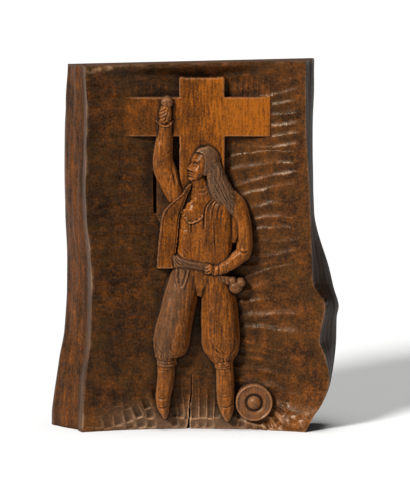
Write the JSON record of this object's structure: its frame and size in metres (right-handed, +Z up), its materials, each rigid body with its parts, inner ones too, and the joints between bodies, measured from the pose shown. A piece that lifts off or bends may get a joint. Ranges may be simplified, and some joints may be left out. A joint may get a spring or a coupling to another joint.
{
  "type": "carved wood panel",
  "caption": "Thick carved wood slab that stands on its base, with a figure, a cross and a shield in relief in a shallow hollow.",
  "frame": {"origin": "middle of the flat base, half way through the slab's width and thickness", "axes": "+Z up the slab, the carved front looks along -Y, the flat back looks along +Y, +X to the right as seen from the front"},
  "size_m": [0.3924, 0.066, 0.5032],
  "materials": {
    "carved_wood": "dark stained and waxed, satin, worn lighter on the edges"
  },
  "bodies": {
    "root": {"carved_panel": "carved_wood"}
  },
  "joints": []
}
